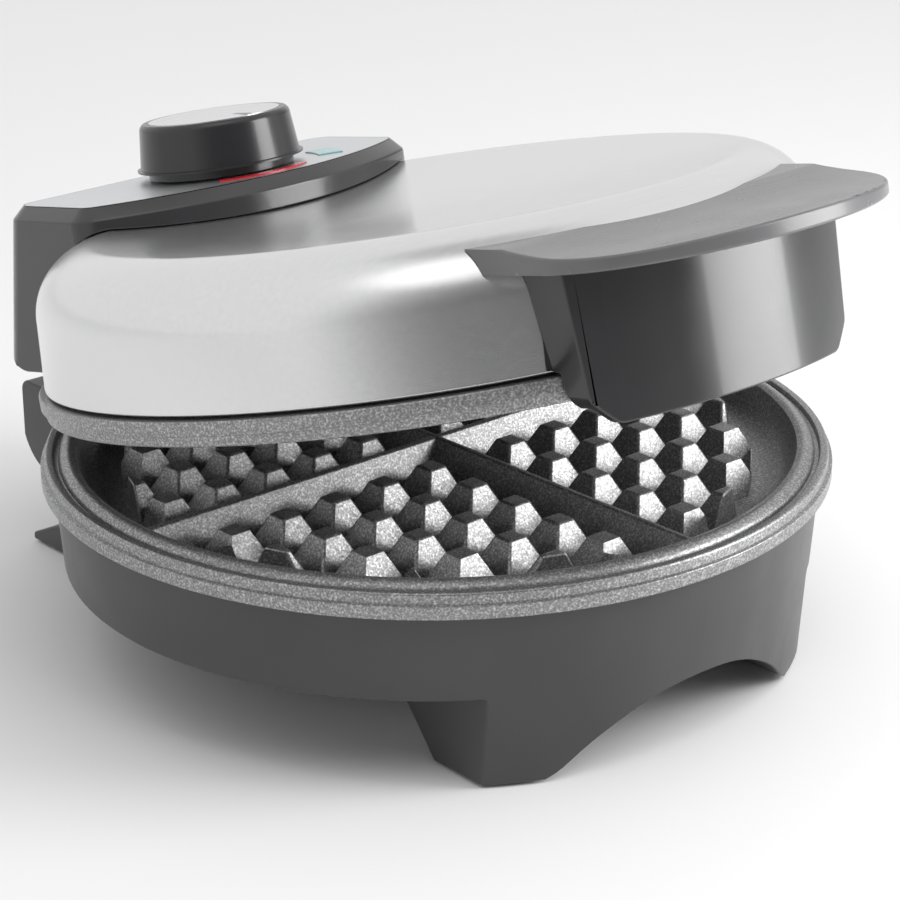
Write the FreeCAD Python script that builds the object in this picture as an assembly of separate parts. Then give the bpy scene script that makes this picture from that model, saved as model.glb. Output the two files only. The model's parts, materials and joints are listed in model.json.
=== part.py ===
"""Round waffle maker with a hinged lid, a front handle and a thermostat dial on the lid.

Millimetres, +Z up, origin on the plates' vertical axis at the level of the table.
-Y is the front, where the handle is, and +Y is the rear, where the hinge is.
The lid is drawn closed and then turned open by lid_rest_angle, which is the rest pose.
"""
import FreeCAD, Part
import math
import os

os.makedirs("parts", exist_ok=True)
V = FreeCAD.Vector

# ---- driving dimensions -------------------------------------------------------------
parting_z = 53.0            # where the two plates meet, above the table
rim_radius = 102.0          # outer edge of both plates
cavity_radius = 92.9        # inner edge of the sealing bead
cavity_depth = 9.7
plate_thickness = 3.0
rim_height = 6.3            # outer band of each plate
closed_gap = 0.4            # air between the two plates' outer lips when closed

grid_pitch = 15.64          # waffle grid
first_row = 13.57           # first row of blocks from the dividing ridge
block_foot = 13.8
block_top = 5.4
block_drop = 1.0            # block tops below the parting plane
block_limit = 81.6          # the blocks end at this radius
ridge_top = 1.6
ridge_foot = 12.0
ridge_drop = 0.5

shell_foot_radius = 95.5    # base shell's outer radius at the table
shell_draft = 0.075         # growth of that radius per mm of height
shell_wall = 2.6
skirt_z = 24.0              # lower edge of the shell between the legs
leg_half_width = 54.6
pad_height = 0.8            # rubber feet stand this far below the legs
rear_half_width = 51.0      # block behind the plates that carries the hinge
rear_y = 117.3
rear_top_z = 49.4

hinge_y = 103.3
hinge_z = parting_z + 17.8
pin_radius = 2.0
pin_clearance = 0.05
knuckle_radius = 5.0
arm_inner_x = 24.0          # each hinge arm lies between these two
arm_outer_x = 36.0
lid_rest_angle = 12.72      # how far the lid is open at rest

dome_foot_radius = 100.2
dome_foot_z = parting_z + 7.4
dome_wall_radius = 99.2
shoulder_radius = 17.0
dome_top_z = parting_z + 41.3
dome_dish = 5.0             # the top is this much lower at its centre
sheet = 0.8

housing_half_width = 55.8
housing_front_radius = 91.6
housing_front_v = -31.0     # front and rear of the dial housing, from the dial
housing_rear_v = 27.0       # below the fascia's chamfer
housing_foot_v = 44.3       # the rear wall runs back to this at housing_foot_w
housing_foot_w = -60.0
housing_corner = 9.0
housing_wall = 2.4
fascia_inset = 3.4
fascia_drop = 3.4           # height of the chamfer round the fascia
fascia_sheet = 1.2
dial_y = 81.6
dial_z = parting_z + 48.2   # fascia level at the dial
dial_tilt = math.degrees(math.atan(0.03))

lamp_length = 2.3
knob_radius = 22.0
knob_height = 15.0
knob_gap = 0.6

grip_half_width = 44.5
grip_foot_half_width = 42.0
grip_front_y = -109.7
grip_front_radius = 114.6
grip_wall = 2.6
grip_bottom_z = parting_z - 5.1
flange_half_width = 51.5
flange_front_y = -133.6
flange_ellipse_y = -102.0
flange_under_z = parting_z + 31.4
flange_edge_z = parting_z + 35.4

dial_point = V(0, dial_y, dial_z)
hinge_point = V(0, hinge_y, hinge_z)


# ---- small helpers ------------------------------------------------------------------
def outline(start, *steps):
    """Edges through points: a step is a point, or (middle, end) for an arc."""
    edges = []
    here = start
    for step in steps:
        if isinstance(step, tuple):
            edges.append(Part.Arc(here, step[0], step[1]).toShape())
            here = step[1]
        else:
            edges.append(Part.LineSegment(here, step).toShape())
            here = step
    if (here - start).Length > 1e-6:
        edges.append(Part.LineSegment(here, start).toShape())
    return Part.Face(Part.Wire(edges))


def rz(r, z):
    return V(r, 0, z)


def yz(y, z):
    return V(0, y, z)


def xy(x, y):
    return V(x, y, 0)


def turned(face):
    """Solid of revolution about Z from a face drawn with rz points."""
    return face.revolve(V(0, 0, 0), V(0, 0, 1), 360)


def across(face, half_width, middle=0.0):
    """Solid swept along X from a face drawn with yz points."""
    face = face.copy()
    face.translate(V(middle - half_width, 0, 0))
    return face.extrude(V(2 * half_width, 0, 0))


def upward(face, z0, z1):
    """Solid swept along Z from a face drawn with xy points."""
    face = face.copy()
    face.translate(V(0, 0, z0))
    return face.extrude(V(0, 0, z1 - z0))


def box(x0, x1, y0, y1, z0, z1):
    return Part.makeBox(x1 - x0, y1 - y0, z1 - z0, V(x0, y0, z0))


def rod(radius, base, direction, length):
    return Part.makeCylinder(radius, length, base, direction)


def both_sides(shape):
    """The shape and its mirror image across the centre plane."""
    return [shape, shape.mirror(V(0, 0, 0), V(1, 0, 0))]


def fused(shapes):
    result = shapes[0]
    if len(shapes) > 1:
        result = result.multiFuse(shapes[1:])
    return result.removeSplitter()


def frustum(x, y, z0, side0, z1, side1):
    """Square frustum standing on z0."""
    def square(side, z):
        h = side / 2
        corners = [V(x - h, y - h, z), V(x + h, y - h, z), V(x + h, y + h, z), V(x - h, y + h, z)]
        return Part.makePolygon(corners + corners[:1])
    return Part.makeLoft([square(side0, z0), square(side1, z1)], True, True)


def opened(shape):
    """A lid piece drawn closed, turned to the rest pose."""
    result = shape.copy()
    result.rotate(hinge_point, V(-1, 0, 0), lid_rest_angle)
    return result


def on_fascia(shape):
    """A piece drawn about the dial with w along Z, laid on the tilted fascia."""
    result = shape.copy()
    result.rotate(V(0, 0, 0), V(1, 0, 0), dial_tilt)
    result.translate(dial_point)
    return result


def screw(head_radius, head_height, shank_radius, shank_length, place, direction=V(0, 0, 1)):
    """Round-headed screw with a cross slot; its head is at place, its shank along direction."""
    head = Part.makeCylinder(head_radius, head_height)
    slot = head_radius * 0.62
    depth = head_height * 0.5
    head = head.cut(box(-slot, slot, -0.35, 0.35, 0, depth))
    head = head.cut(box(-0.35, 0.35, -slot, slot, 0, depth))
    shank = Part.makeCylinder(shank_radius, shank_length, V(0, 0, head_height))
    body = head.fuse(shank)
    body.Placement = FreeCAD.Placement(place, FreeCAD.Rotation(V(0, 0, 1), direction))
    return body


nodes = {}


def keep(name, shape):
    """Register a node; a list becomes one node of separate solids."""
    if isinstance(shape, list):
        shape = Part.makeCompound(shape)
    nodes[name] = shape


# ---- waffle plates ------------------------------------------------------------------
def plate_body(bead, cavity_edge):
    """Plate that faces up, its lip at z = 0; bead > 0 stands up, bead < 0 is a groove."""
    floor = -cavity_depth
    r = rim_radius
    back = floor - plate_thickness
    face = outline(
        rz(0, back), rz(92.5, back), rz(95.4, back + 3.2), rz(95.8, -rim_height),
        rz(r, -rim_height), rz(r, -2.8), rz(r - 0.9, -2.6), rz(r - 1.1, -0.6),
        (rz(r - 1.3, -0.16), rz(r - 1.8, 0)), rz(r - 2.9, 0),
        rz(r - 3.5, -1.6), rz(r - 4.4, -1.6), rz(r - 4.8, min(bead, 0) - 0.5),
        (rz(95.2, bead + 0.1 * (bead > 0)), rz(93.6, min(bead, 0.75))),
        rz(cavity_radius, cavity_edge),
        (rz(89.7, -7.1), rz(83.0, floor)), rz(0, floor))
    return turned(face)


def waffle_relief():
    """Dividing ridges and rows of blocks on the plate's floor."""
    floor = -cavity_depth
    pieces = []
    ring = Part.makeCylinder(block_limit, cavity_depth, V(0, 0, floor))
    rows = [first_row + grid_pitch * i for i in range(5)]
    for x in rows:
        for y in rows:
            if math.hypot(x, y) > block_limit + 4:
                continue
            block = frustum(x, y, floor - 0.5, block_foot + 0.5, -block_drop, block_top)
            if math.hypot(x, y) > block_limit - block_foot:
                block = block.common(ring)
            for sx in (1, -1):
                for sy in (1, -1):
                    copy = block
                    if sx < 0:
                        copy = copy.mirror(V(0, 0, 0), V(1, 0, 0))
                    if sy < 0:
                        copy = copy.mirror(V(0, 0, 0), V(0, 1, 0))
                    pieces.append(copy)
    top = -ridge_drop
    section = outline(yz(-ridge_foot / 2, floor - 0.5), yz(-ridge_top / 2, top),
                      yz(ridge_top / 2, top), yz(ridge_foot / 2, floor - 0.5))
    ridge = across(section, cavity_radius - 1.2)
    pieces.append(ridge)
    pieces.append(ridge.rotated(V(0, 0, 0), V(0, 0, 1), 90))
    return pieces


def screw_boss(x, y, length):
    """Threaded boss on the back of a plate."""
    boss = Part.makeCylinder(4.0, length + 1, V(x, y, -cavity_depth - plate_thickness - length))
    hole = Part.makeCylinder(1.55, length + 0.5, V(x, y, -cavity_depth - plate_thickness - length - 0.5))
    return boss.cut(hole)


boss_places = [(60 * math.cos(math.radians(a)), 60 * math.sin(math.radians(a))) for a in (90, 210, 330)]
boss_length = 5.0
relief = waffle_relief()
bosses = [screw_boss(x, y, boss_length) for x, y in boss_places]

lower_plate = fused([plate_body(0.85, 0.4)] + relief + bosses)
lower_plate.translate(V(0, 0, parting_z))
keep("lower_plate", lower_plate)

upper_plate = fused([plate_body(-1.9, -0.4)] + relief + bosses)
upper_plate = upper_plate.mirror(V(0, 0, 0), V(0, 0, 1))
upper_plate.translate(V(0, 0, parting_z + closed_gap))
keep("upper_plate", opened(upper_plate))

lower_back_z = parting_z - cavity_depth - plate_thickness
upper_back_z = parting_z + closed_gap + cavity_depth + plate_thickness


# ---- heating elements and reflectors ------------------------------------------------
def element(z, sign):
    """Tubular heater: an open ring against the plate's back, ends turned away from it."""
    radius = 74.0
    tube = 3.2
    gap = math.radians(9)
    start = V(radius * math.sin(gap), radius * math.cos(gap), z)
    end = V(-start.x, start.y, z)
    ring = Part.Arc(start, V(0, -radius, z), end).toShape()
    path = Part.Wire([ring])
    profile = Part.Wire([Part.Circle(start, V(math.cos(gap), -math.sin(gap), 0), tube).toShape()])
    pieces = [path.makePipeShell([profile], True, True)]
    for tip in (start, end):
        pieces.append(Part.makeSphere(tube, tip))
        pieces.append(rod(tube, tip, V(0, 0, sign), 5.0))
        pieces.append(rod(1.1, tip + V(0, 0, sign * 5.0), V(0, 0, sign), 3.5))
    return fused(pieces)


def reflector(z, sign):
    """Shallow bright pan behind the element, with holes for the heater's ends and screws."""
    pan = turned(outline(rz(0, 0), rz(79.0, 0), rz(82.0, 4.5), rz(82.7, 4.3), rz(79.4, -0.6), rz(0, -0.6)))
    holes = [Part.makeCylinder(5.0, 3, V(s * 74.0 * math.sin(math.radians(9)), 73.1, -2)) for s in (1, -1)]
    holes += [Part.makeCylinder(1.9, 3, V(x, y, -2)) for x, y in boss_places]
    pan = pan.cut(Part.makeCompound(holes))
    if sign > 0:
        pan = pan.mirror(V(0, 0, 0), V(0, 0, 1))
    pan.translate(V(0, 0, z))
    return pan


tube_offset = 3.25
pan_offset = boss_length + 3.0
keep("lower_heating_element", element(lower_back_z - tube_offset, -1))
keep("upper_heating_element", opened(element(upper_back_z + tube_offset, 1)))

standoff_length = pan_offset - boss_length - 0.05


def plate_stack(back_z, sign):
    """Ceramic standoffs and screws that hold the pan and the plate together."""
    boss_end = back_z + sign * boss_length
    sleeves = []
    screws = []
    for x, y in boss_places:
        sleeve = rod(4.0, V(x, y, boss_end), V(0, 0, sign), standoff_length)
        sleeves.append(sleeve.cut(rod(1.8, V(x, y, boss_end), V(0, 0, sign), standoff_length)))
        head = V(x, y, back_z + sign * (pan_offset + 0.65 + 2.0))
        screws.append(screw(3.4, 2.0, 1.5, standoff_length + 4.4, head, V(0, 0, -sign)))
    return sleeves, screws


lower_sleeves, lower_screws = plate_stack(lower_back_z, -1)
upper_sleeves, upper_screws = plate_stack(upper_back_z, 1)
keep("lower_reflector", reflector(lower_back_z - pan_offset, -1))
keep("upper_reflector", opened(reflector(upper_back_z + pan_offset, 1)))
keep("lower_standoffs", lower_sleeves)
keep("upper_standoffs", [opened(s) for s in upper_sleeves])
keep("lower_plate_screws", lower_screws)
keep("upper_plate_screws", [opened(s) for s in upper_screws])


# ---- base shell ---------------------------------------------------------------------
def shell_radius(z):
    return shell_foot_radius + shell_draft * z


def shell_cone(inset, z0, z1):
    r0 = shell_radius(z0) - inset
    r1 = shell_radius(z1) - inset
    return turned(outline(rz(0, z0), rz(r0, z0), rz(r1, z1), rz(0, z1)))


shell_top_z = parting_z - rim_height - 0.05
leg_foot_z = pad_height


def arch(grow):
    """Bell-shaped gap between the two front legs, swept from front to back."""
    half = [(0.0, 19.4), (13.0, 17.9), (25.0, 12.8), (33.7, 6.8), (40.0, leg_foot_z + 0.7), (43.5, 0.0)]
    points = [V(-x - (grow if x else 0), -120, z + grow) for x, z in reversed(half)]
    points += [V(x + grow, -120, z + grow) for x, z in half[1:]]
    curve = Part.BSplineCurve()
    curve.interpolate(points)
    low = [V(points[-1].x, -120, -5), V(points[0].x, -120, -5)]
    edges = [curve.toShape(), Part.LineSegment(points[-1], low[0]).toShape(),
             Part.LineSegment(low[0], low[1]).toShape(), Part.LineSegment(low[1], points[0]).toShape()]
    return Part.Face(Part.Wire(edges)).extrude(V(0, 100, 0))


def front_leg_block(inset, top):
    """Front quarter of the shell's cone, down to the legs' feet, sloped at its back."""
    foot = leg_foot_z + inset
    side = across(outline(yz(-120, foot), yz(-61 - inset, foot), yz(-42 - inset, top), yz(-120, top)),
                  leg_half_width - inset)
    return side.common(shell_cone(inset, 0, top + 1))


def rear_block(inset, top):
    """Block that carries the hinge, with the hollow under it where a cord is wound."""
    y1 = rear_y - inset
    z1 = top - inset
    face = outline(yz(70, skirt_z), yz(100, skirt_z), (yz(111, 25.6 + inset), yz(y1, 33 + inset)),
                   yz(y1, z1 - 3), (yz(y1 - 0.9, z1 - 0.9), yz(y1 - 3, z1)), yz(70, z1))
    return across(face, rear_half_width - inset)


def rear_leg(inset):
    """Rear leg with a heel that keeps a wound cord on and the open lid from tipping it."""
    foot = leg_foot_z + inset
    face = outline(yz(82 + inset, skirt_z + 0.5), yz(82 + inset, foot), yz(rear_y - inset, foot),
                   yz(rear_y - inset, 2.8), yz(106, 8.2 - inset), (yz(100.6, 10.2), yz(98.6 - inset, 16)),
                   yz(98.6 - inset, skirt_z + 0.5))
    return across(face, 9.5 - inset, 40.5)


wall = shell_cone(0, skirt_z, shell_top_z).cut(shell_cone(shell_wall, skirt_z - 1, shell_top_z + 1))
front = front_leg_block(0, skirt_z + 0.2).cut(arch(0))
front = front.cut(front_leg_block(2.5, skirt_z + 1).cut(arch(2.5)))
rear = rear_block(0, rear_top_z).cut(rear_block(2.5, rear_top_z))
inside = shell_cone(shell_wall, skirt_z - 1, shell_top_z)
rear = rear.cut(inside)
rear = rear.cut(Part.makeCylinder(rim_radius + 0.7, 20, V(0, 0, shell_top_z)))
base_shell = fused([wall, front, rear] + both_sides(rear_leg(0)))
passage = box(-rear_half_width + 6, rear_half_width - 6, 80, 100, skirt_z + 4, shell_top_z - 6)
base_shell = base_shell.cut(passage)

cover_ledge = turned(outline(rz(90.5, 27.2), rz(96, 27.2), rz(96, 29.2), rz(90.5, 29.2)))
cover_ledge = cover_ledge.common(inside)
base_shell = base_shell.fuse(cover_ledge)

foot_places = [(48.2, -70.0, 4.2, 6.0), (40.5, 92.0, 6.0, 6.0), (40.5, 110.5, 6.0, 3.0)]
foot_pads = []
for x, y, half_x, half_y in foot_places:
    pad = box(x - half_x, x + half_x, y - half_y, y + half_y, 0, pad_height + 1.2)
    pad = pad.makeFillet(1.5, [e for e in pad.Edges if abs(e.tangentAt(e.FirstParameter).z) > 0.9])
    foot_pads += both_sides(pad)
keep("rubber_feet", foot_pads)

gland_point = V(0, rear_y, 39.0)
gland_hole = rod(5.0, gland_point + V(0, -6, 0), V(0, 1, 0), 12)
cover_screw_places = [(88 * math.cos(math.radians(a)), 88 * math.sin(math.radians(a))) for a in (0, 60, 120, 180)]


def cover_pillar(x, y):
    pillar = rod(3.6, V(x, y, 27.05), V(0, 0, 1), 7.95)
    bridge = box(88, 95.5, -1.5, 1.5, 29.2, 35).rotated(V(0, 0, 0), V(0, 0, 1), math.degrees(math.atan2(y, x)))
    return pillar.fuse(bridge).cut(rod(1.5, V(x, y, 26.5), V(0, 0, 1), 7.0))


base_shell = base_shell.cut(Part.makeCompound(foot_pads))
base_shell = base_shell.cut(gland_hole)
base_shell = fused([base_shell] + [cover_pillar(x, y) for x, y in cover_screw_places])
keep("base_shell", base_shell)

cover = turned(outline(rz(0, skirt_z + 0.6), rz(93.6, skirt_z + 0.6), rz(94.0, 27.0), rz(0, 27.0)))
vents = []
for side in (-1, 1):
    for i in range(7):
        vents.append(box(side * 45 - 16, side * 45 + 16, -31 + 9 * i, -28 + 9 * i, 20, 30))
cover = cover.cut(Part.makeCompound(vents))
cover_heads = []
for x, y in cover_screw_places:
    cover = cover.cut(rod(3.2, V(x, y, skirt_z), V(0, 0, 1), 2.1))
    cover = cover.cut(rod(1.6, V(x, y, skirt_z), V(0, 0, 1), 5))
    cover_heads.append(screw(3.0, 1.4, 1.45, 7.0, V(x, y, skirt_z + 0.65)))
keep("bottom_cover", cover)
keep("bottom_cover_screws", cover_heads)


# ---- what the base holds ------------------------------------------------------------
gland = rod(7.2, gland_point + V(0, 0.05, 0), V(0, 1, 0), 1.8)
gland = gland.fuse(rod(4.9, gland_point + V(0, -5.5, 0), V(0, 1, 0), 6))
gland = gland.fuse(rod(5.3, gland_point + V(0, -5.5, 0), V(0, 1, 0), 2.9))
gland = gland.cut(rod(3.2, gland_point + V(0, -7, 0), V(0, 1, 0), 12)).removeSplitter()
keep("cord_gland", gland)

terminal = box(-14, 14, 102, 110, 29, 38)
for i in range(3):
    terminal = terminal.cut(rod(2.0, V(-9 + 9 * i, 106, 31.5), V(0, 0, 1), 7))
    terminal = terminal.cut(rod(1.5, V(-9 + 9 * i, 101, 31.5), V(0, 1, 0), 10))
keep("terminal_block", terminal)

fuse_z = 29.3
fuse = rod(2.0, V(18, 60, fuse_z), V(1, 0, 0), 22)
fuse = fuse.fuse(rod(0.9, V(12, 60, fuse_z), V(1, 0, 0), 34))
keep("thermal_fuse", fuse.removeSplitter())


# ---- hinge --------------------------------------------------------------------------
def hinge_post():
    """Post on the rear block with a round knuckle at the pin."""
    k = knuckle_radius
    face = outline(yz(hinge_y - 0.3, rear_top_z), yz(112.0, rear_top_z), yz(hinge_y + k, hinge_z - 5),
                   yz(hinge_y + k, hinge_z), (yz(hinge_y, hinge_z + k), yz(hinge_y - k, hinge_z)),
                   (yz(hinge_y - 4.2, hinge_z - 3.4), yz(hinge_y - 2.0, hinge_z - 5.5)),
                   yz(hinge_y - 0.3, hinge_z - 9))
    middle = (arm_inner_x + arm_outer_x) / 2
    arm = across(face, (arm_outer_x - arm_inner_x) / 2, middle)
    bore = rod(pin_radius, V(arm_inner_x - 1, hinge_y, hinge_z), V(1, 0, 0), arm_outer_x - arm_inner_x + 2)
    return arm.cut(bore)


arm_right, arm_left = both_sides(hinge_post())
keep("hinge_arm_right", arm_right)
keep("hinge_arm_left", arm_left)

lug_gap = 0.6
lug_thickness = 2.0
pin_reach = 1.5
pins = []
for sign in (-1, 1):
    x0 = sign * 30 - (6 + lug_gap + lug_thickness + pin_reach)
    pins.append(rod(pin_radius, V(x0, hinge_y, hinge_z), V(1, 0, 0), 2 * (6 + lug_gap + lug_thickness + pin_reach)))
keep("hinge_pins", pins)

bracket_z = parting_z + 33.0


def lug(x0):
    """Ear of the lid's hinge bracket, from the pin up to the bracket's plate."""
    face = outline(yz(hinge_y - 4.0, hinge_z), (yz(hinge_y, hinge_z - 4.0), yz(hinge_y + 4.0, hinge_z)),
                   yz(hinge_y + 5.0, bracket_z), yz(hinge_y - 3.4, bracket_z))
    ear = across(face, lug_thickness / 2, x0 + lug_thickness / 2)
    bore = rod(pin_radius + pin_clearance, V(x0 - 1, hinge_y, hinge_z), V(1, 0, 0), lug_thickness + 2)
    return ear.cut(bore)


hinge_bracket = [box(-42, 42, hinge_y - 3.4, hinge_y + 5.0, bracket_z - 0.01, bracket_z + 2.0)]
for x0 in (arm_inner_x - lug_gap - lug_thickness, arm_outer_x + lug_gap):
    hinge_bracket += both_sides(lug(x0))
hinge_bracket = fused(hinge_bracket)
bracket_screw_places = [V(s * 16, hinge_y + 2, bracket_z - 1.4) for s in (-1, 1)]
for place in bracket_screw_places:
    hinge_bracket = hinge_bracket.cut(rod(1.8, place, V(0, 0, 1), 6))


# ---- lid dome -----------------------------------------------------------------------
def crowned(radius, z, rise):
    """Arc step from (radius, z) to the axis, rise higher there, centred on the axis."""
    big = (radius ** 2 + rise ** 2) / (2 * abs(rise))
    half = big - math.sqrt(big ** 2 - (radius / 2) ** 2)
    up = 1 if rise > 0 else -1
    return rz(radius / 2, z + rise - up * half), rz(0, z + rise)


def dome_solid(grow):
    """Outer form of the lid, grown or shrunk by a sheet's thickness."""
    wall_r = dome_wall_radius + grow
    foot_r = dome_foot_radius + grow
    arc_r = shoulder_radius + grow
    centre_r = dome_wall_radius - shoulder_radius
    centre_z = dome_top_z - shoulder_radius
    d = arc_r * math.sqrt(0.5)
    top = dome_top_z + grow
    return turned(outline(
        rz(0, dome_foot_z), rz(foot_r, dome_foot_z), rz(wall_r, centre_z),
        (rz(centre_r + d, centre_z + d), rz(centre_r, top)),
        crowned(centre_r, top, -dome_dish)))


lip = turned(outline(rz(96.2, dome_foot_z - 1), rz(103, dome_foot_z - 1), rz(103, dome_foot_z + sheet),
                     rz(96.2, dome_foot_z + sheet)))
dome = dome_solid(0).cut(dome_solid(-sheet).cut(lip))
dome = dome.cut(Part.makeCylinder(17.0, 60, V(0, dial_y, parting_z)))
handle_screw_places = [(-22.0, parting_z + 22.0), (22.0, parting_z + 22.0)]
for x, z in handle_screw_places:
    dome = dome.cut(rod(2.2, V(x, -110, z), V(0, 1, 0), 25))
housing_screw_places = [(-40.0, 72.0), (40.0, 72.0)]
for x, y in housing_screw_places:
    dome = dome.cut(rod(1.9, V(x, y, parting_z + 30), V(0, 0, 1), 16))
keep("lid_dome", opened(dome.removeSplitter()))

carrier_z = upper_back_z + 0.05
carrier = turned(outline(rz(84.0, carrier_z), rz(96.1, carrier_z), rz(96.3, dome_foot_z + 1.0),
                         rz(98.9, dome_foot_z + 1.0), rz(98.6, carrier_z + 2.0), rz(84.0, carrier_z + 2.0)))
for i in range(6):
    angle = math.radians(30 + 60 * i)
    place = V(90 * math.cos(angle), 90 * math.sin(angle), carrier_z - 1)
    carrier = carrier.cut(rod(1.6, place, V(0, 0, 1), 5))
keep("lid_carrier", opened(carrier))


# ---- dial housing -------------------------------------------------------------------
def housing_outline(inset, rear_v=housing_rear_v):
    """Plan of the housing about the dial: straight sides and rear, bowed front."""
    half = housing_half_width - inset
    front = housing_front_v + inset
    rear = rear_v - inset
    radius = housing_front_radius - inset
    centre = front + radius
    side = centre - math.sqrt(radius ** 2 - half ** 2)
    face = outline(xy(-half, rear), xy(-half, side), (xy(0, front), xy(half, side)), xy(half, rear))
    rounding = max(housing_corner - inset, 1.5)
    prism = upward(face, 0, 1)
    posts = [e for e in prism.Edges if abs(e.tangentAt(e.FirstParameter).z) > 0.9]
    prism = prism.makeFillet(rounding, posts)
    return min(prism.Faces, key=lambda f: f.CenterOfMass.z)


def housing_form(inset, top):
    """Tilted housing with a sloping rear wall, its upper edge chamfered towards the fascia."""
    wires = []
    for extra, rear_v, w in ((0, housing_foot_v, housing_foot_w), (0, housing_rear_v, top - fascia_drop),
                             (fascia_inset, housing_rear_v, top)):
        face = housing_outline(inset + extra, rear_v)
        face.translate(V(0, 0, w))
        wires.append(face.OuterWire)
    return on_fascia(Part.makeLoft(wires, True, True))


def housing_envelope():
    """Side view of what the housing may fill; its lower rear corner swings clear of the base."""
    z = parting_z
    return across(outline(yz(30, z + 3.4), yz(109.0, z + 3.4), (yz(115.4, z + 5.7), yz(118.9, z + 11.5)),
                          yz(124, z + 30), yz(124, z + 80), yz(30, z + 80)), 70)


dome_clear = dome_solid(0.3)
rim_clear = Part.makeCylinder(rim_radius + 0.8, 40, V(0, 0, dome_foot_z - 40))
solid_housing = housing_form(1.0, -0.6 - fascia_sheet)
housing = housing_form(0, 0).common(housing_envelope())
hollow = housing_form(housing_wall, -fascia_sheet - 2.0)
housing = housing.cut(hollow)
recess = housing_outline(fascia_inset + 0.35)
housing = housing.cut(on_fascia(upward(recess, -fascia_sheet - 0.05, 5)))
housing = housing.cut(dome_clear)
housing = housing.cut(rim_clear)
for sign in (-1, 1):
    middle = sign * (arm_inner_x + arm_outer_x) / 2
    half = (arm_outer_x - arm_inner_x) / 2 + 1.6
    housing = housing.cut(box(middle - half, middle + half, hinge_y, 130, parting_z - 10, parting_z + 29))
shaft_hole = Part.makeCylinder(5.0, 12, V(0, 0, -8))
housing = housing.cut(on_fascia(shaft_hole))


def ring_sector(r0, r1, from_angle, to_angle, w0, w1):
    """Arc-shaped bar about the dial; angles from the front, positive to the right."""
    def at(r, a):
        return xy(r * math.sin(math.radians(a)), -r * math.cos(math.radians(a)))
    middle = (from_angle + to_angle) / 2
    face = outline(at(r0, from_angle), (at(r0, middle), at(r0, to_angle)), at(r1, to_angle),
                   (at(r1, middle), at(r1, from_angle)))
    return upward(face, w0, w1)


def lamp_spot(r0, r1, first, last):
    """Top of the lamp below the middle of a lens."""
    turn = math.radians((first + last) / 2)
    reach = (r0 + r1) / 2
    return V(reach * math.sin(turn), -reach * math.cos(turn), -3.4)


# inner and outer radius about the dial, first and last angle from the front
lenses = {"power_lens": (21.9, 25.1, -38, 32), "ready_lens": (27.0, 34.0, 60, 84)}
for lens_place in lenses.values():
    r0, r1, first, last = lens_place
    housing = housing.cut(on_fascia(ring_sector(r0 + 0.4, r1 - 0.4, first + 1, last - 1, -9, 2)))
    housing = housing.cut(on_fascia(rod(1.6, lamp_spot(*lens_place), V(0, 0, -1), lamp_length + 0.6)))
pillar_places = [(-40.0, 72.0), (40.0, 72.0)]
pillars = []
for x, y in pillar_places:
    pillar = rod(4.0, V(x, y, parting_z + 36), V(0, 0, 1), 9.3).cut(dome_clear)
    pillar = pillar.cut(rod(1.5, V(x, y, parting_z + 30), V(0, 0, 1), 14.0))
    pillars.append(pillar)
for place in bracket_screw_places:
    post = rod(3.6, V(place.x, place.y, bracket_z + 2.02), V(0, 0, 1), 18)
    pillars.append(post.common(solid_housing))
housing = fused([housing] + pillars)
for place in bracket_screw_places:
    housing = housing.cut(rod(1.5, place, V(0, 0, 1), 12))
keep("dial_housing", opened(housing))

fascia = upward(housing_outline(fascia_inset + 0.45), -fascia_sheet, 0)
fascia = fascia.cut(Part.makeCylinder(5.0, 10, V(0, 0, -5)))
for name, (r0, r1, first, last) in lenses.items():
    window = ring_sector(r0, r1, first, last, -5, 5)
    fascia = fascia.cut(window)
    lens = ring_sector(r0 + 0.1, r1 - 0.1, first + 0.2, last - 0.2, -fascia_sheet, 0.35)
    lens = lens.fuse(ring_sector(r0 + 0.6, r1 - 0.6, first + 1.5, last - 1.5, -3.3, -fascia_sheet))
    keep(name, opened(on_fascia(lens.removeSplitter())))
    lamp = rod(1.4, lamp_spot(r0, r1, first, last), V(0, 0, -1), lamp_length)
    keep(name.replace("lens", "lamp"), opened(on_fascia(lamp)))
keep("dial_fascia", opened(on_fascia(fascia)))

lid_hinge_screws = [screw(3.2, 1.35, 1.45, 10.0, place) for place in bracket_screw_places]
keep("lid_hinge_bracket", opened(hinge_bracket))
keep("lid_hinge_screws", [opened(s) for s in lid_hinge_screws])
housing_screws = []
for x, y in housing_screw_places:
    housing_screws.append(screw(3.2, 1.5, 1.45, 3.4, V(x, y, parting_z + 38.6)))
keep("housing_screws", [opened(s) for s in housing_screws])


# ---- thermostat and dial ------------------------------------------------------------
body = Part.makeCylinder(12.0, 10.0, V(0, 0, -21.0)).fuse(box(-9, 9, -14, 14, -24, -19))
body = body.fuse(Part.makeCylinder(4.6, 6.0, V(0, 0, -11.0)))
body = body.cut(Part.makeCylinder(3.1, 20, V(0, 0, -22.0))).removeSplitter()
keep("thermostat_body", opened(on_fascia(body)))

strap = box(-16, 16, -5, 5, -11.0, -9.8).fuse(box(-16, -14.8, -5, 5, -11.0, -3.35))
strap = strap.fuse(box(14.8, 16, -5, 5, -11.0, -3.35))
strap = strap.cut(Part.makeCylinder(4.7, 6, V(0, 0, -13))).removeSplitter()
keep("thermostat_bracket", opened(on_fascia(strap)))

probe_place = V(12, 30, upper_back_z + 1.7)
probe = rod(1.6, probe_place, V(0, 1, 0), 36).fuse(Part.makeSphere(1.6, probe_place))
keep("thermostat_probe", opened(probe.removeSplitter()))

shaft = Part.makeCylinder(3.0, 33.0, V(0, 0, -21.0))
shaft = shaft.cut(box(1.8, 4, -4, 4, 0.3, 13))
keep("dial_shaft", opened(on_fascia(shaft)))

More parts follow.
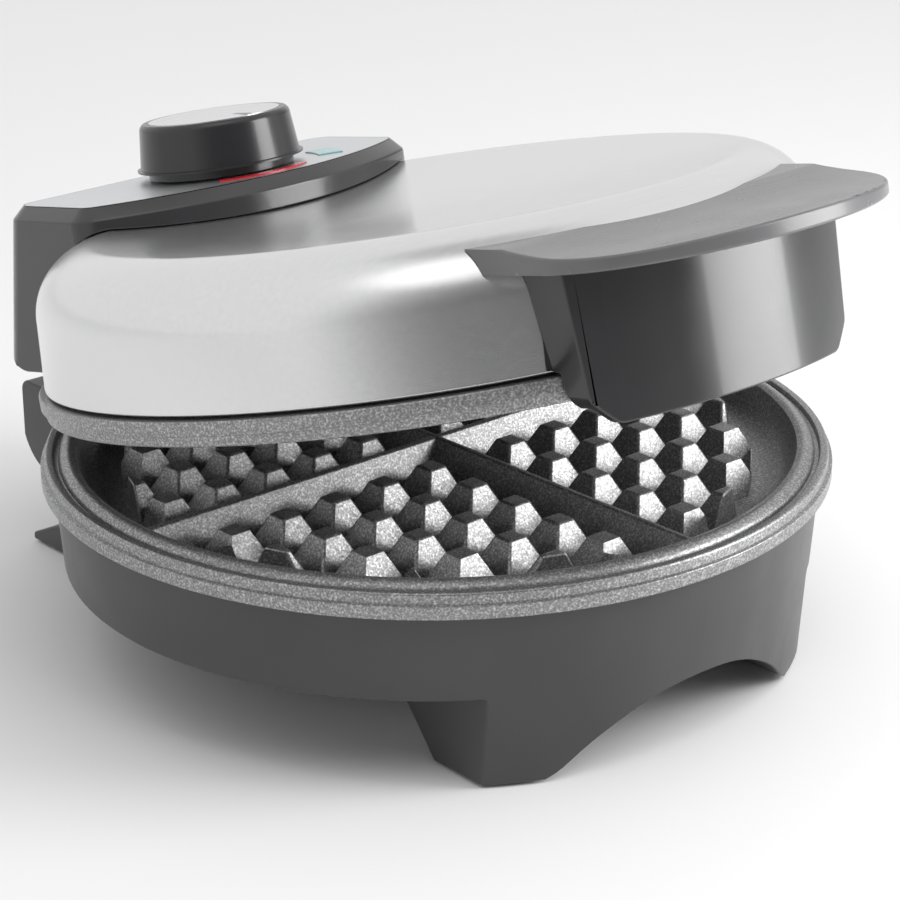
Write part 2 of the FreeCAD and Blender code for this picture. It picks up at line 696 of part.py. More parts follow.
r = knob_radius
top = knob_gap + knob_height
knob = turned(outline(
    rz(3.05, knob_gap), rz(5.5, knob_gap), rz(5.5, top - 4.0), rz(16.9, top - 4.0), rz(17.4, knob_gap),
    rz(r - 2.0, knob_gap), rz(r - 2.0, 2.7), rz(r + 0.9, 2.8), rz(r + 0.9, 3.3), rz(r, 3.5),
    rz(r - 1.2, top - 1.8), (rz(r - 1.5, top - 0.8), rz(r - 2.3, top)),
    rz(r - 3.8, top), rz(r - 3.8, top - 0.7), rz(3.05, top - 0.7)))
knob = knob.fuse(box(1.85, 3.3, -3.0, 3.0, knob_gap, top - 1.2).common(Part.makeCylinder(3.3, top)))
keep("dial_knob", opened(on_fascia(knob.removeSplitter())))
cap = turned(outline(rz(0, top - 0.65), rz(r - 3.9, top - 0.65), rz(r - 3.9, top + 0.1),
                     crowned(r - 3.9, top + 0.1, 0.25)))
pointer = box(-0.9, 0.9, -r + 5.2, -r + 12.2, top - 0.2, top + 0.9)
cap = cap.cut(pointer)
keep("dial_cap", opened(on_fascia(cap)))
pointer = box(-0.85, 0.85, -r + 5.25, -r + 12.15, top - 0.2, top + 0.3)
keep("dial_pointer", opened(on_fascia(pointer)))


# ---- handle -------------------------------------------------------------------------
def grip_plan(inset):
    half = grip_half_width - inset
    radius = grip_front_radius - inset
    centre = grip_front_y + grip_front_radius
    side = centre - math.sqrt(radius ** 2 - half ** 2)
    return outline(xy(-half, -60), xy(-half, side), (xy(0, centre - radius), xy(half, side)), xy(half, -60))


def grip_side(drop):
    """Side view of the grip; its lower edge steps down from the dome to the apron."""
    z = parting_z
    return across(outline(yz(-60, z + 8.2 - drop), yz(-91.5, z + 8.2 - drop), yz(-95.0, z + 1.0 - drop),
                          yz(-98.4, grip_bottom_z - drop), yz(-120, grip_bottom_z - drop),
                          yz(-120, flange_under_z - 0.05), yz(-60, flange_under_z - 0.05)), 60)


def grip_front(inset):
    """Front view of the grip, narrower at its lower edge."""
    low = grip_bottom_z - 5 * inset
    top = grip_half_width + 0.01 - inset
    foot = grip_foot_half_width - inset
    face = outline(V(-top, -125, flange_under_z), V(-foot, -125, low + 6), V(-foot + 6, -125, low),
                   V(foot - 6, -125, low), V(foot, -125, low + 6), V(top, -125, flange_under_z))
    prism = face.extrude(V(0, 70, 0))
    corners = [e for e in prism.Edges if abs(e.tangentAt(e.FirstParameter).y) > 0.9
               and e.CenterOfMass.z < low + 7]
    return prism.makeFillet(4.0, corners)


grip = upward(grip_plan(0), parting_z - 30, flange_under_z).common(grip_side(0)).common(grip_front(0))
hollow = upward(grip_plan(grip_wall), parting_z - 40, flange_under_z - 2.6).common(grip_front(grip_wall))
grip = grip.cut(hollow).cut(dome_clear)
grip = grip.cut(rim_clear)
for x in (-22.0, 22.0):
    pad = box(x - 7, x + 7, -112, -80, parting_z + 16.5, parting_z + 28.0)
    pad = pad.common(upward(grip_plan(1.0), 0, 200)).cut(dome_clear)
    pad = pad.cut(rod(1.5, V(x, -104, parting_z + 22.0), V(0, 1, 0), 20))
    grip = grip.fuse(pad)
keep("handle_grip", opened(grip.removeSplitter()))

top_face = outline(yz(-70, flange_under_z), yz(flange_front_y - 1, flange_under_z),
                   yz(flange_front_y - 1, flange_edge_z + 0.1),
                   (yz(-112, parting_z + 34.8), yz(-90, parting_z + 37.2)), yz(-70, parting_z + 37.4))
ellipse = Part.Ellipse(V(0, flange_ellipse_y, 0), flange_half_width, flange_ellipse_y - flange_front_y)
front_edge = Part.ArcOfEllipse(ellipse, math.pi, 2 * math.pi).toShape()
corners = [V(x, y, 0) for x, y in ((flange_half_width, flange_ellipse_y), (flange_half_width, -75),
                                   (-flange_half_width, -75), (-flange_half_width, flange_ellipse_y))]
plan_edges = [front_edge] + [Part.LineSegment(a, b).toShape() for a, b in zip(corners, corners[1:])]
plan = Part.Face(Part.Wire(Part.sortEdges(plan_edges)[0]))
flange = across(top_face, 60).common(upward(plan, 60, 110)).cut(dome_clear)
flange = max(flange.Solids, key=lambda s: s.Volume)
keep("handle_top", opened(flange))

bracket_y = -91.8
handle_bracket = box(-30, 30, bracket_y, bracket_y + 1.2, parting_z + 17, parting_z + 27)
for x, z in handle_screw_places:
    handle_bracket = handle_bracket.cut(rod(1.7, V(x, bracket_y - 2, z), V(0, 1, 0), 6))
keep("handle_bracket", opened(handle_bracket))

screws = []
for x, z in handle_screw_places:
    screws.append(screw(3.2, 1.6, 1.45, 12.8, V(x, bracket_y + 1.25 + 1.6, z), V(0, -1, 0)))
keep("handle_screws", [opened(s) for s in screws])

for name, shape in nodes.items():
    if not shape.isValid():
        print("INVALID", name)
    count = len(shape.Solids)
    print(f"{name:24s} solids {count:3d}  volume {shape.Volume:10.1f}")
    shape.exportStep(f"parts/{name}.step")
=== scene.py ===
import json
import math
import bpy
import bmesh
from mathutils import Matrix, Vector


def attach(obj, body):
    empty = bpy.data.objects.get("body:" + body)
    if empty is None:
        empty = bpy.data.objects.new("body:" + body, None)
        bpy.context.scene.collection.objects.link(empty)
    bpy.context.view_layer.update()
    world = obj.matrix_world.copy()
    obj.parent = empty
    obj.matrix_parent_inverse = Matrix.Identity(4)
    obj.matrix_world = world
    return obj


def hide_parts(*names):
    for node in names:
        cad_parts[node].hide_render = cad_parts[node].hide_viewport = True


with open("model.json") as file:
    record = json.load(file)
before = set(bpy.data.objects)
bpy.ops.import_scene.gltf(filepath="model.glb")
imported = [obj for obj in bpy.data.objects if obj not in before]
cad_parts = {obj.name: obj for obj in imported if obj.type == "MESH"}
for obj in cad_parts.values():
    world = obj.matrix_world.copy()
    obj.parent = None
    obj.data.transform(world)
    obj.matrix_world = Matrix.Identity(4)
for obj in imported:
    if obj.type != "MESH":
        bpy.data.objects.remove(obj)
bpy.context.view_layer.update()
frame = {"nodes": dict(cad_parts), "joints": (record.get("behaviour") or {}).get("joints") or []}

nodes = frame["nodes"]
mm = 0.001
lidJoint = frame["joints"][0]
restOpening = math.radians(12.72)   # how far the lid is open at rest
partingLine = 53.0                  # height of the closed plates' meeting plane, mm

# From the closed lid's own coordinates to where the lid rests, slightly open.
hingePoint = Vector(lidJoint["pos_m"])
lidToRest = (Matrix.Translation(hingePoint)
             @ Matrix.Rotation(restOpening, 4, Vector(lidJoint["axis"]))
             @ Matrix.Translation(-hingePoint))


def newPiece(name, body, mesh, place=None):
    piece = bpy.data.objects.new(name, mesh)
    bpy.context.scene.collection.objects.link(piece)
    if place is not None:
        piece.matrix_world = place
    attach(piece, body)
    return piece


def smoothByAngle(mesh, degrees):
    mesh.shade_smooth()
    mesh.set_sharp_from_angle(angle=math.radians(degrees))


def arcPoints(centre, radius, fromAngle, toAngle, steps):
    # points of an arc in the (radius, height) plane, angles in degrees from outwards
    points = []
    for i in range(steps + 1):
        angle = math.radians(fromAngle + (toAngle - fromAngle) * i / steps)
        points.append((centre[0] + radius * math.cos(angle), centre[1] + radius * math.sin(angle)))
    return points


def spunMesh(name, profile, segments=256):
    # closed outline of (radius, height) in mm, turned once round the z axis
    bm = bmesh.new()
    rings = []
    for radius, height in profile:
        z = height * mm
        if radius < 1e-6:
            rings.append([bm.verts.new((0, 0, z))])
            continue
        ring = []
        for i in range(segments):
            angle = 2 * math.pi * i / segments
            ring.append(bm.verts.new((radius * mm * math.cos(angle), radius * mm * math.sin(angle), z)))
        rings.append(ring)
    for lower, upper in zip(rings, rings[1:] + rings[:1]):
        if len(lower) == 1 and len(upper) == 1:
            continue
        for i in range(segments):
            j = (i + 1) % segments
            corners = [lower[i % len(lower)], lower[j % len(lower)],
                       upper[j % len(upper)], upper[i % len(upper)]]
            corners = [v for k, v in enumerate(corners) if v not in corners[:k]]
            bm.faces.new(corners)
    bmesh.ops.recalc_face_normals(bm, faces=bm.faces)
    mesh = bpy.data.meshes.new(name)
    bm.to_mesh(mesh)
    bm.free()
    return mesh


def applied(piece):
    # the piece's mesh with its modifiers worked in
    view = bpy.context.evaluated_depsgraph_get()
    mesh = bpy.data.meshes.new_from_object(piece.evaluated_get(view))
    piece.modifiers.clear()
    piece.data = mesh
    return mesh


def evenNormals(piece, degrees):
    # flat faces shade flat and the small radii between them take up the turn
    smoothByAngle(piece.data, degrees)
    even = piece.modifiers.new("even", "WEIGHTED_NORMAL")
    even.mode = "FACE_AREA"
    even.weight = 90
    even.keep_sharp = True
    applied(piece)


def softened(node, body, name, width, clearOfDome=0.0):
    # a copy of a moulded part with its edges broken, but only beyond that radius of the lid's axis
    bm = bmesh.new()
    bm.from_mesh(nodes[node].data)
    bmesh.ops.remove_doubles(bm, verts=bm.verts, dist=2e-6)
    bmesh.ops.dissolve_limit(bm, angle_limit=math.radians(0.4), verts=bm.verts, edges=bm.edges)
    weights = bm.edges.layers.float.new("bevel_weight_edge")
    restToLid = lidToRest.inverted()
    for edge in bm.edges:
        broken = len(edge.link_faces) == 2 and edge.calc_face_angle() > math.radians(32)
        reach = min((restToLid @ corner.co).xy.length for corner in edge.verts)
        edge[weights] = 1.0 if broken and reach > clearOfDome * mm else 0.0
    mesh = bpy.data.meshes.new(name)
    bm.to_mesh(mesh)
    bm.free()
    piece = newPiece(name, body, mesh)
    bevel = piece.modifiers.new("edges", "BEVEL")
    bevel.width = width * mm
    bevel.segments = 3
    bevel.limit_method = "WEIGHT"
    bevel.use_clamp_overlap = False
    bevel.miter_outer = "MITER_ARC"
    applied(piece)
    evenNormals(piece, 40)
    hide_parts(node)
    return piece


def finish(name):
    material = bpy.data.materials.new(name)
    material.use_nodes = True
    tree = material.node_tree
    shader = tree.nodes["Principled BSDF"]
    return material, tree, shader


def grain(tree, scale, detail=3.0, roughness=0.55, stretch=None):
    # noise in the piece's own coordinates; scale in features per metre
    coordinates = tree.nodes.new("ShaderNodeTexCoord")
    source = coordinates.outputs["Object"]
    if stretch is not None:
        mapping = tree.nodes.new("ShaderNodeMapping")
        mapping.inputs["Scale"].default_value = stretch
        tree.links.new(source, mapping.inputs["Vector"])
        source = mapping.outputs["Vector"]
    noise = tree.nodes.new("ShaderNodeTexNoise")
    noise.inputs["Scale"].default_value = scale
    noise.inputs["Detail"].default_value = detail
    noise.inputs["Roughness"].default_value = roughness
    tree.links.new(source, noise.inputs["Vector"])
    return noise.outputs["Fac"]


def ramp(tree, source, stops):
    node = tree.nodes.new("ShaderNodeValToRGB")
    elements = node.color_ramp.elements
    while len(elements) < len(stops):
        elements.new(0.5)
    for element, (position, value) in zip(elements, stops):
        element.position = position
        element.color = (*value, 1.0) if isinstance(value, tuple) else (value, value, value, 1.0)
    tree.links.new(source, node.inputs["Fac"])
    return node.outputs["Color"]


def bump(tree, shader, source, strength, distance, after=None):
    node = tree.nodes.new("ShaderNodeBump")
    node.inputs["Strength"].default_value = strength
    node.inputs["Distance"].default_value = distance
    tree.links.new(source, node.inputs["Height"])
    if after is not None:
        tree.links.new(after, node.inputs["Normal"])
    tree.links.new(node.outputs["Normal"], shader.inputs["Normal"])
    return node.outputs["Normal"]


def mouldedPlastic(name, colour, roughness, grainSize=0.00025, depth=0.00001, coat=0.0, shift=0.25):
    material, tree, shader = finish(name)
    tone = grain(tree, 22.0, 2.0)
    low = tuple(c * (1 - shift * 0.5) for c in colour)
    high = tuple(c * (1 + shift * 0.5) for c in colour)
    tree.links.new(ramp(tree, tone, [(0.3, low), (0.7, high)]), shader.inputs["Base Color"])
    smudge = grain(tree, 60.0, 4.0)
    low, high = roughness * 0.9, roughness * 1.12
    tree.links.new(ramp(tree, smudge, [(0.3, low), (0.7, high)]), shader.inputs["Roughness"])
    bump(tree, shader, grain(tree, 1.0 / grainSize, 2.0), 0.35, depth)
    shader.inputs["IOR"].default_value = 1.5
    shader.inputs["Coat Weight"].default_value = coat
    shader.inputs["Coat Roughness"].default_value = 0.08
    return material


def brushedMetal(name, colour, roughness, stretch, streak=0.00002, metallic=1.0):
    # long fine scratches that follow one direction of the piece
    material, tree, shader = finish(name)
    lines = grain(tree, 1.0, 4.0, 0.7, stretch)
    broad = grain(tree, 14.0, 2.0)
    low = tuple(c * 0.95 for c in colour)
    tree.links.new(ramp(tree, lines, [(0.3, low), (0.7, colour)]), shader.inputs["Base Color"])
    mix = tree.nodes.new("ShaderNodeMath")
    mix.operation = "MULTIPLY_ADD"
    mix.inputs[1].default_value = 0.5
    tree.links.new(lines, mix.inputs[0])
    tree.links.new(broad, mix.inputs[2])
    tree.links.new(ramp(tree, mix.outputs[0], [(0.35, roughness * 0.85), (1.0, roughness * 1.15)]),
                   shader.inputs["Roughness"])
    bump(tree, shader, lines, 0.2, streak)
    shader.inputs["Metallic"].default_value = metallic
    return material


def castCoating(name, colour, fleck, roughness):
    # cast metal under a sprayed non-stick coat: pebbled, with pale flecks
    material, tree, shader = finish(name)
    pebble = grain(tree, 1500.0, 3.0, 0.6)
    flecks = grain(tree, 1900.0, 2.0, 0.5)
    base = ramp(tree, flecks, [(0.30, tuple(c * 0.7 for c in colour)), (0.50, colour), (0.72, fleck)])
    tree.links.new(base, shader.inputs["Base Color"])
    tree.links.new(ramp(tree, pebble, [(0.3, roughness * 0.8), (0.7, roughness * 1.25)]),
                   shader.inputs["Roughness"])
    coarse = bump(tree, shader, grain(tree, 420.0, 2.0), 0.25, 0.00008)
    bump(tree, shader, pebble, 0.5, 0.00006, coarse)
    shader.inputs["Metallic"].default_value = 0.75
    return material


baseTone = {"colour": (0.050, 0.050, 0.052), "roughness": 0.36}
housingTone = {"colour": (0.034, 0.034, 0.036), "roughness": 0.20}
gripTone = {"colour": (0.030, 0.030, 0.032), "roughness": 0.22}
flangeTone = {"colour": (0.140, 0.140, 0.144), "roughness": 0.26}

satinShell = mouldedPlastic("satinShell", **baseTone)
glossHousing = mouldedPlastic("glossHousing", **housingTone, coat=0.3)
glossGrip = mouldedPlastic("glossGrip", **gripTone, coat=0.3)
satinFlange = mouldedPlastic("satinFlange", **flangeTone, coat=0.1)
knobBlack = mouldedPlastic("knobBlack", (0.022, 0.022, 0.024), 0.25, coat=0.2)
mattBlack = mouldedPlastic("mattBlack", (0.02, 0.02, 0.02), 0.6, grainSize=0.0004, depth=0.00003)
footRubber = mouldedPlastic("footRubber", (0.012, 0.012, 0.012), 0.8, grainSize=0.0005, depth=0.00005)
terminalPlastic = mouldedPlastic("terminalPlastic", (0.72, 0.70, 0.64), 0.5)
ceramicWhite = mouldedPlastic("ceramicWhite", (0.80, 0.77, 0.70), 0.55, grainSize=0.0005, depth=0.00003)
redWindow = mouldedPlastic("redWindow", (0.62, 0.015, 0.03), 0.18, coat=0.5)
tealWindow = mouldedPlastic("tealWindow", (0.20, 0.50, 0.50), 0.18, coat=0.5)
lampGlass = mouldedPlastic("lampGlass", (0.9, 0.55, 0.4), 0.1, coat=0.6)
plateCoating = castCoating("plateCoating", (0.28, 0.28, 0.283), (0.60, 0.60, 0.60), 0.38)
domeSteel = brushedMetal("domeSteel", (0.82, 0.82, 0.825), 0.21, (14.0, 900.0, 900.0), metallic=0.92)
pointerGrey = mouldedPlastic("pointerGrey", (0.30, 0.30, 0.30), 0.4)
fasciaSilver = brushedMetal("fasciaSilver", (0.78, 0.79, 0.80), 0.38, (20.0, 1200.0, 1200.0), 0.00001)
capSilver = brushedMetal("capSilver", (0.86, 0.86, 0.87), 0.26, (30.0, 1500.0, 1500.0), 0.00001)
zincSteel = brushedMetal("zincSteel", (0.60, 0.60, 0.61), 0.35, (300.0, 300.0, 300.0))
heaterSteel = brushedMetal("heaterSteel", (0.25, 0.22, 0.20), 0.45, (500.0, 500.0, 500.0))
panAluminium = brushedMetal("panAluminium", (0.80, 0.80, 0.81), 0.22, (10.0, 600.0, 600.0))
carrierBlack = mouldedPlastic("carrierBlack", (0.03, 0.03, 0.03), 0.45)
print("finishes made")


# which finish each part of the frame wears; the rest are zinc-plated steel
nodeFinish = {
    "base_shell": satinShell, "hinge_arm_right": satinShell, "hinge_arm_left": satinShell,
    "bottom_cover": mattBlack, "rubber_feet": footRubber, "cord_gland": mattBlack,
    "lower_plate": plateCoating, "upper_plate": plateCoating,
    "lower_heating_element": heaterSteel, "upper_heating_element": heaterSteel,
    "lower_reflector": panAluminium, "upper_reflector": panAluminium,
    "lower_standoffs": ceramicWhite, "upper_standoffs": ceramicWhite,
    "terminal_block": terminalPlastic, "thermal_fuse": panAluminium,
    "lid_dome": domeSteel, "lid_carrier": carrierBlack,
    "dial_housing": glossHousing, "dial_fascia": fasciaSilver,
    "power_lens": redWindow, "ready_lens": tealWindow, "power_lamp": lampGlass, "ready_lamp": lampGlass,
    "thermostat_body": ceramicWhite, "dial_knob": knobBlack, "dial_cap": capSilver,
    "dial_pointer": pointerGrey,
    "handle_grip": glossGrip, "handle_top": satinFlange,
}
for node, part in nodes.items():
    wanted = nodeFinish.get(node, zincSteel)
    if not part.material_slots:
        part.data.materials.append(wanted)
    for entry in part.material_slots:
        entry.material = wanted
print("finishes on the frame's parts")


# the steel dome, sizes in mm, heights above the table when closed
dome = {"footRadius": 100.2, "foot": 60.4, "wallRadius": 99.2, "shoulder": 17.0, "top": 94.3, "dish": 5.0,
        "sheet": 0.8, "lip": 96.2}


def domeMesh():
    d = dome
    centreRadius = d["wallRadius"] - d["shoulder"]
    centreHeight = d["top"] - d["shoulder"]
    sphere = (centreRadius ** 2 + d["dish"] ** 2) / (2 * d["dish"])

    def skin(inset):
        # from the foot over the shoulder to the dished middle
        points = [(d["footRadius"] - inset, d["foot"] + (0.6 if inset == 0 else d["sheet"]))]
        points += arcPoints((centreRadius, centreHeight), d["shoulder"] - inset, 0, 90, 20)
        for i in range(1, 13):
            r = centreRadius * (1 - i / 12)
            fall = math.sqrt(sphere ** 2 - r ** 2) - math.sqrt(sphere ** 2 - centreRadius ** 2)
            points.append((r, d["top"] - inset - fall))
        return points
    outer = skin(0)
    inner = skin(d["sheet"])
    hem = [(d["lip"], d["foot"] + d["sheet"]), (d["lip"], d["foot"]), (d["footRadius"] - 0.9, d["foot"]),
           (d["footRadius"] - 0.25, d["foot"] + 0.15)]
    return spunMesh("domeSkin", inner[::-1] + hem + outer, 320)


domeSkin = newPiece("domeSkin", "lid", domeMesh(), lidToRest)
domeSkin.data.materials.append(domeSteel)
evenNormals(domeSkin, 50)
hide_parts("lid_dome")
print("dome made")


# both plates, sizes in mm
plate = {"rim": 102.0, "depth": 9.7, "back": 3.0, "band": 6.3, "cavity": 92.9, "closedGap": 0.4}
block = {"pitch": 15.64, "first": 13.57, "foot": 13.8, "top": 5.4, "drop": 1.0, "reach": 81.6, "edge": 0.75}
ridge = {"top": 1.6, "foot": 12.0, "drop": 0.5, "edge": 0.5}


def bentThrough(start, middle, end, steps):
    # points after start on a parabola through the middle to the end
    start, middle, end = Vector(start), Vector(middle), Vector(end)
    pull = middle * 2 - (start + end) / 2
    points = []
    for i in range(1, steps + 1):
        t = i / steps
        points.append(tuple((1 - t) ** 2 * start + 2 * t * (1 - t) * pull + t * t * end))
    return points


def plateProfile(bead, cavityEdge):
    floor = -plate["depth"]
    rim = plate["rim"]
    back = floor - plate["back"]
    points = [(0, back), (92.5, back), (95.4, back + 3.2), (95.8, -plate["band"])]
    points += arcPoints((rim - 0.5, -plate["band"] + 0.5), 0.5, -90, 0, 4)
    points += arcPoints((rim - 0.3, -3.1), 0.3, 0, 70, 4)
    points += [(rim - 0.9, -2.6), (rim - 1.1, -0.6)]
    points += arcPoints((rim - 1.8, -0.7), 0.7, 10, 90, 5)
    beadFoot = (rim - 4.8, min(bead, 0) - 0.5)
    points += [(rim - 2.9, 0), (rim - 3.15, -0.15), (rim - 3.45, -1.45), (rim - 3.7, -1.6), (rim - 4.3, -1.6),
               (rim - 4.55, -1.5), beadFoot]
    # the rolled bead that seals the two plates, a groove in the upper one
    points += bentThrough(beadFoot, (95.2, bead + 0.1 * (bead > 0)), (93.6, min(bead, 0.75)), 8)
    points.append((plate["cavity"], cavityEdge))
    points += bentThrough((plate["cavity"], cavityEdge), (89.7, -7.1), (83.0, floor), 12)
    points.append((0, floor))
    return points


def frustumMesh(bm, x, y, low, lowSides, high, highSides):
    # a box whose ends are rectangles of different size, sides in mm
    corners = []
    for z, (sx, sy) in ((low, lowSides), (high, highSides)):
        for cx, cy in ((-1, -1), (1, -1), (1, 1), (-1, 1)):
            corners.append(bm.verts.new(((x + cx * sx / 2) * mm, (y + cy * sy / 2) * mm, z * mm)))
    bm.faces.new(corners[3::-1])
    bm.faces.new(corners[4:])
    for i in range(4):
        j = (i + 1) % 4
        bm.faces.new((corners[i], corners[j], corners[4 + j], corners[4 + i]))


def beveledLump(build, width, cutter=None):
    # one block or ridge as its own little mesh, edges rounded
    bm = bmesh.new()
    build(bm)
    mesh = bpy.data.meshes.new("lump")
    bm.to_mesh(mesh)
    bm.free()
    lump = bpy.data.objects.new("lump", mesh)
    bpy.context.scene.collection.objects.link(lump)
    if cutter is not None:
        trim = lump.modifiers.new("trim", "BOOLEAN")
        trim.operation = "INTERSECT"
        trim.solver = "EXACT"
        trim.object = cutter
    bevel = lump.modifiers.new("edges", "BEVEL")
    bevel.width = width * mm
    bevel.segments = 3
    bevel.limit_method = "ANGLE"
    bevel.angle_limit = math.radians(28)
    bpy.context.view_layer.update()
    result = applied(lump)
    bpy.data.objects.remove(lump)
    return result


def reliefMesh():
    # all blocks and both ridges, standing a little into the plate's floor
    floor = -plate["depth"]
    root = floor - 0.5
    footAtRoot = block["foot"] + 0.5
    drum = [(0, -30), (block["reach"], -30), (block["reach"], 9), (0, 9)]
    cutter = bpy.data.objects.new("cutter", spunMesh("cutter", drum))
    bpy.context.scene.collection.objects.link(cutter)
    together = bmesh.new()
    rows = [block["first"] + block["pitch"] * i for i in range(5)]
    for x in rows:
        for y in rows:
            if math.hypot(x, y) > block["reach"] + 4:
                continue
            trimmed = math.hypot(x, y) > block["reach"] - block["foot"]

            def build(bm, x=x, y=y):
                frustumMesh(bm, x, y, root, (footAtRoot,) * 2, -block["drop"], (block["top"],) * 2)
            lump = beveledLump(build, block["edge"], cutter if trimmed else None)
            for sx in (1, -1):
                for sy in (1, -1):
                    copy = lump.copy()
                    copy.transform(Matrix.Diagonal((sx, sy, 1, 1)))
                    if sx * sy < 0:
                        copy.flip_normals()
                    together.from_mesh(copy)
    length = 2 * (plate["cavity"] - 1.2)

    def buildRidge(bm):
        frustumMesh(bm, 0, 0, root, (length, ridge["foot"]), -ridge["drop"], (length, ridge["top"]))
    bar = beveledLump(buildRidge, ridge["edge"])
    together.from_mesh(bar)
    crossBar = bar.copy()
    crossBar.transform(Matrix.Rotation(math.pi / 2, 4, "Z"))
    together.from_mesh(crossBar)
    mesh = bpy.data.meshes.new("relief")
    together.to_mesh(mesh)
    together.free()
    bpy.data.objects.remove(cutter)
    return mesh


relief = reliefMesh()


def wafflePlate(name, body, node, bead, cavityEdge, place):
    shell = spunMesh(name, plateProfile(bead, cavityEdge), 256)
    bm = bmesh.new()
    bm.from_mesh(shell)
    bm.from_mesh(relief)
    bm.to_mesh(shell)
    bm.free()
    piece = newPiece(name, body, shell, place)
    evenNormals(piece, 38)
    piece.data.materials.append(plateCoating)
    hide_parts(node)
    return piece


lowerPlace = Matrix.Translation((0, 0, partingLine * mm))
upperFace = Matrix.Translation((0, 0, (partingLine + plate["closedGap"]) * mm))
upperPlace = lidToRest @ upperFace @ Matrix.Rotation(math.pi, 4, "X")
wafflePlate("lowerWafflePlate", "base", "lower_plate", 0.85, 0.4, lowerPlace)
wafflePlate("upperWafflePlate", "lid", "upper_plate", -1.9, -0.4, upperPlace)
print("waffle plates made")


# moulded parts whose edges are broken: piece name, body, slot, finish and edge radius in mm
mouldings = {
    "base_shell": ("baseMoulding", "base", "dark_plastic", satinShell, 0.5),
    "hinge_arm_right": ("rightHingeArm", "base", "dark_plastic", satinShell, 0.4),
    "hinge_arm_left": ("leftHingeArm", "base", "dark_plastic", satinShell, 0.4),
    "dial_housing": ("housingMoulding", "lid", "housing_plastic", glossHousing, 0.45),
    "handle_grip": ("gripMoulding", "lid", "grip_plastic", glossGrip, 0.5),
    "handle_top": ("flangeMoulding", "lid", "flange_plastic", satinFlange, 0.7),
}
clearOfDome = {"handle_top": 99.0}   # its edges inside this radius lie on the steel and stay as they are
for node, (name, body, slotName, material, width) in mouldings.items():
    piece = softened(node, body, name, width, clearOfDome.get(node, 0.0))
    piece.data.materials.clear()
    piece.data.materials.append(material)
print("mouldings made")


# the room around the object, sizes in metres
studio = {"floorSize": 6.0, "floorTone": 0.86, "wallTone": 0.84}
floorMesh = bpy.data.meshes.new("studioFloor")
reach = studio["floorSize"] / 2
floorCorners = [(-reach, -reach, 0), (reach, -reach, 0), (reach, reach, 0), (-reach, reach, 0)]
floorMesh.from_pydata(floorCorners, [], [(0, 1, 2, 3)])
floor = bpy.data.objects.new("studioFloor", floorMesh)
bpy.context.scene.collection.objects.link(floor)
floorPaint, tree, shader = finish("floorPaint")
tree.links.new(ramp(tree, grain(tree, 3.0), [(0.3, studio["floorTone"] - 0.01), (0.7, studio["floorTone"])]),
               shader.inputs["Base Color"])
shader.inputs["Roughness"].default_value = 0.9
shader.inputs["Specular IOR Level"].default_value = 0.1
floor.data.materials.append(floorPaint)


def facing(azimuth, elevation):
    # unit vector; azimuth 0 is the front, positive to the right
    a, e = math.radians(azimuth), math.radians(elevation)
    return Vector((math.sin(a) * math.cos(e), -math.cos(a) * math.cos(e), math.sin(e)))


# soft patches of the surrounding walls: azimuth, elevation, inner and outer half angle, added brightness
wallPatches = [
    (-41, 68, 6, 26, 0.7),
    (139, 74, 4, 18, -0.35),
    (-14, 8, 14, 66, -0.70),
    (34, 4, 4, 14, -0.6),
    (95, 8, 6, 24, -0.45),
]
world = bpy.data.worlds.new("softStudio")
bpy.context.scene.world = world
world.use_nodes = True
sky = world.node_tree
direction = sky.nodes.new("ShaderNodeTexCoord").outputs["Generated"]
total = None
for azimuth, elevation, inner, outer, added in wallPatches:
    dot = sky.nodes.new("ShaderNodeVectorMath")
    dot.operation = "DOT_PRODUCT"
    dot.inputs[1].default_value = facing(azimuth, elevation)
    sky.links.new(direction, dot.inputs[0])
    fade = sky.nodes.new("ShaderNodeMapRange")
    fade.interpolation_type = "SMOOTHSTEP"
    fade.inputs["From Min"].default_value = math.cos(math.radians(outer))
    fade.inputs["From Max"].default_value = math.cos(math.radians(inner))
    fade.inputs["To Min"].default_value = 0.0
    fade.inputs["To Max"].default_value = added
    sky.links.new(dot.outputs["Value"], fade.inputs["Value"])
    add = sky.nodes.new("ShaderNodeMath")
    add.operation = "ADD"
    sky.links.new(fade.outputs["Result"], add.inputs[0])
    if total is None:
        add.inputs[1].default_value = studio["wallTone"]
    else:
        sky.links.new(total, add.inputs[1])
    total = add.outputs["Value"]
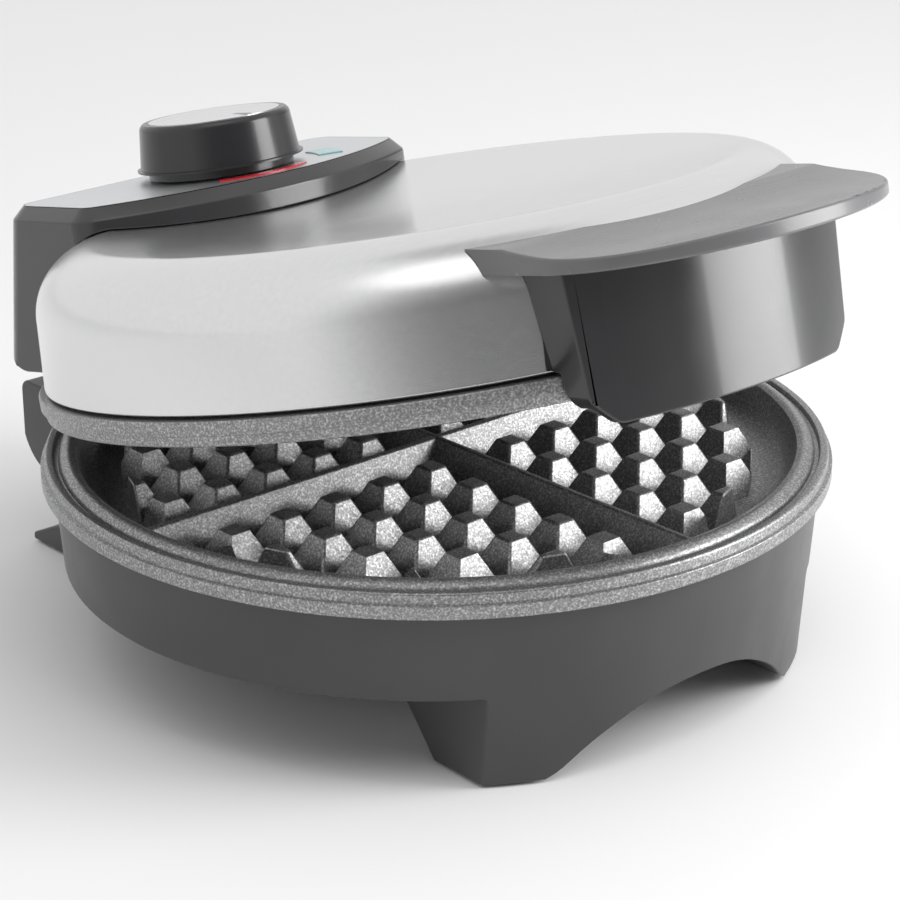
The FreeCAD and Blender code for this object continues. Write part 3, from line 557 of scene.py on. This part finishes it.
seen = sky.nodes.new("ShaderNodeMix")   # seen directly the wall is plain, the patches only light and reflect
sky.links.new(sky.nodes.new("ShaderNodeLightPath").outputs["Is Camera Ray"], seen.inputs["Factor"])
sky.links.new(total, seen.inputs["A"])
seen.inputs["B"].default_value = studio["wallTone"]
sky.nodes["Background"].inputs["Color"].default_value = (1, 1, 1, 1)
sky.links.new(seen.outputs["Result"], sky.nodes["Background"].inputs["Strength"])


def softLight(name, place, target, size, power):
    light = bpy.data.lights.new(name, "AREA")
    light.shape = "RECTANGLE"
    light.size, light.size_y = size
    light.energy = power
    lamp = bpy.data.objects.new(name, light)
    lamp.location = place
    lamp.visible_camera = False
    lamp.rotation_euler = (Vector(target) - Vector(place)).to_track_quat("-Z", "Y").to_euler()
    bpy.context.scene.collection.objects.link(lamp)


# place, what it points at, width and height, power in watts
lights = {
    "stripBox": ((0.46, -0.51, 0.26), (0.02, -0.11, 0.12), (0.34, 0.50), 4.0),
    "fillLight": ((0.3, -0.9, 1.5), (0, 0, 0.0), (1.4, 1.4), 10),
}
for name, settings in lights.items():
    softLight(name, *settings)
bpy.data.objects["fillLight"].visible_glossy = False   # it whitens the floor without showing in the steel

camera = {"azimuth": -40.89, "elevation": 21.03, "roll": -0.528, "distance": 0.7333, "lens": 113.1,
          "shift": (0.0154, -0.018)}
cameraData = bpy.data.cameras.new("camera")
cameraData.lens = camera["lens"]
cameraData.sensor_width = 36.0
cameraData.shift_x, cameraData.shift_y = camera["shift"]
cameraData.clip_start = 0.01
cameraObject = bpy.data.objects.new("camera", cameraData)
towards = facing(camera["azimuth"], camera["elevation"])
cameraObject.location = Vector((0, 0, partingLine * mm)) + towards * camera["distance"]
aim = (-towards).to_track_quat("-Z", "Y")
roll = Matrix.Rotation(math.radians(camera["roll"]), 3, "Z").to_quaternion()
cameraObject.rotation_euler = (aim @ roll).to_euler()
bpy.context.scene.collection.objects.link(cameraObject)
bpy.context.scene.camera = cameraObject
bpy.context.scene.view_settings.view_transform = "Standard"
print("studio set")
